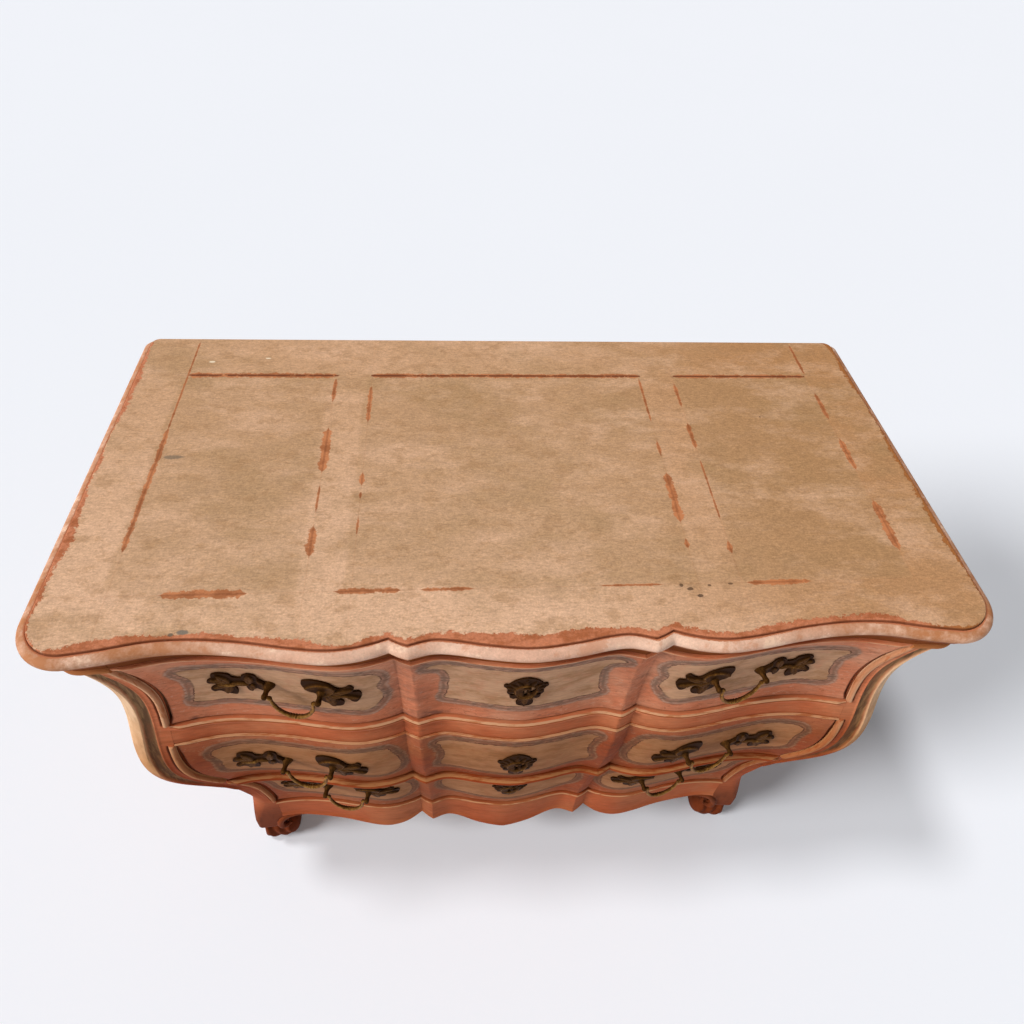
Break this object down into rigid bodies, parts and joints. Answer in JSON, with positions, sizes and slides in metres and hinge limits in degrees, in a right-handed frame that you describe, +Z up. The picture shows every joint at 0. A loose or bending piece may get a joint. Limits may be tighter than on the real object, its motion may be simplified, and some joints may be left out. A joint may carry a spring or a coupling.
{
  "type": "commode chest",
  "caption": "Painted bombé commode chest with a framed top, serpentine drawer fronts that slide out, hanging bail pulls and scrolled front feet.",
  "frame": {"origin": "centre of the bounding box on the floor", "axes": "+X to the right as seen from the front, +Y to the back, +Z up; the drawers open along -Y"},
  "size_m": [1.24, 0.635, 0.85],
  "materials": {
    "top_paint": "distressed paint on wood, matt",
    "front_paint": "distressed salmon paint on wood, waxed",
    "case_paint": "distressed cream paint on wood, waxed",
    "bare_wood": "plain planed softwood, unpainted",
    "bronze": "dark patinated bronze, gilt on the raised parts"
  },
  "bodies": {
    "case": {"top_stile_left": "top_paint", "top_stile_right": "top_paint", "top_rail_back": "top_paint", "top_rail_front": "top_paint", "top_muntin_left": "top_paint", "top_muntin_right": "top_paint", "top_panel_left": "top_paint", "top_panel_centre": "top_paint", "top_panel_right": "top_paint", "frieze_rail": "front_paint", "upper_rail": "front_paint", "lower_rail": "case_paint", "apron": "front_paint", "front_post_right": "case_paint", "front_post_left": "case_paint", "rear_post_right": "case_paint", "rear_post_left": "case_paint", "side_panel_right": "case_paint", "side_panel_left": "case_paint", "back_panel": "bare_wood", "upper_dust_board": "bare_wood", "lower_dust_board": "bare_wood", "bottom_board": "bare_wood"},
    "drawer_1": {"drawer_1_front": "front_paint", "drawer_1_side_right": "bare_wood", "drawer_1_side_left": "bare_wood", "drawer_1_bottom": "bare_wood", "drawer_1_back": "bare_wood", "drawer_1_pull_left_leaf_plate": "bronze", "drawer_1_pull_left_shell_plate": "bronze", "drawer_1_pull_right_leaf_plate": "bronze", "drawer_1_pull_right_shell_plate": "bronze", "drawer_1_escutcheon": "bronze"},
    "drawer_1_bail_left": {"drawer_1_pull_left_bail": "bronze"},
    "drawer_1_bail_right": {"drawer_1_pull_right_bail": "bronze"},
    "drawer_2": {"drawer_2_front": "front_paint", "drawer_2_side_right": "bare_wood", "drawer_2_side_left": "bare_wood", "drawer_2_bottom": "bare_wood", "drawer_2_back": "bare_wood", "drawer_2_pull_left_leaf_plate": "bronze", "drawer_2_pull_left_shell_plate": "bronze", "drawer_2_pull_right_leaf_plate": "bronze", "drawer_2_pull_right_shell_plate": "bronze", "drawer_2_escutcheon": "bronze"},
    "drawer_2_bail_left": {"drawer_2_pull_left_bail": "bronze"},
    "drawer_2_bail_right": {"drawer_2_pull_right_bail": "bronze"},
    "drawer_3": {"drawer_3_front": "front_paint", "drawer_3_side_right": "bare_wood", "drawer_3_side_left": "bare_wood", "drawer_3_bottom": "bare_wood", "drawer_3_back": "bare_wood", "drawer_3_pull_left_leaf_plate": "bronze", "drawer_3_pull_left_shell_plate": "bronze", "drawer_3_pull_right_leaf_plate": "bronze", "drawer_3_pull_right_shell_plate": "bronze", "drawer_3_escutcheon": "bronze"},
    "drawer_3_bail_left": {"drawer_3_pull_left_bail": "bronze"},
    "drawer_3_bail_right": {"drawer_3_pull_right_bail": "bronze"}
  },
  "joints": [
    {"name": "drawer_1_slide", "type": "slide", "parent": "case", "child": "drawer_1", "axis": [0, -1, 0], "range_m": [0, 0.38]},
    {"name": "drawer_1_bail_left_hinge", "type": "hinge", "parent": "drawer_1", "child": "drawer_1_bail_left", "pos_m": [-0.31212, -0.29147, 0.71199], "axis": [-0.9861, 0.1662, 0], "range_deg": [-6, 95]},
    {"name": "drawer_1_bail_right_hinge", "type": "hinge", "parent": "drawer_1", "child": "drawer_1_bail_right", "pos_m": [0.30292, -0.29273, 0.71199], "axis": [-0.9861, -0.1663, 0], "range_deg": [-6, 95]},
    {"name": "drawer_2_slide", "type": "slide", "parent": "case", "child": "drawer_2", "axis": [0, -1, 0], "range_m": [0, 0.38]},
    {"name": "drawer_2_bail_left_hinge", "type": "hinge", "parent": "drawer_2", "child": "drawer_2_bail_left", "pos_m": [-0.32007, -0.30186, 0.497], "axis": [-0.9869, 0.1611, 0], "range_deg": [-6, 95]},
    {"name": "drawer_2_bail_right_hinge", "type": "hinge", "parent": "drawer_2", "child": "drawer_2_bail_right", "pos_m": [0.30715, -0.30369, 0.497], "axis": [-0.9856, -0.1694, 0], "range_deg": [-6, 95]},
    {"name": "drawer_3_slide", "type": "slide", "parent": "case", "child": "drawer_3", "axis": [0, -1, 0], "range_m": [0, 0.38]},
    {"name": "drawer_3_bail_left_hinge", "type": "hinge", "parent": "drawer_3", "child": "drawer_3_bail_left", "pos_m": [-0.28205, -0.27387, 0.32199], "axis": [-0.9845, 0.1753, 0], "range_deg": [-6, 95]},
    {"name": "drawer_3_bail_right_hinge", "type": "hinge", "parent": "drawer_3", "child": "drawer_3_bail_right", "pos_m": [0.27409, -0.27497, 0.32199], "axis": [-0.9855, -0.1696, 0], "range_deg": [-6, 95]}
  ]
}
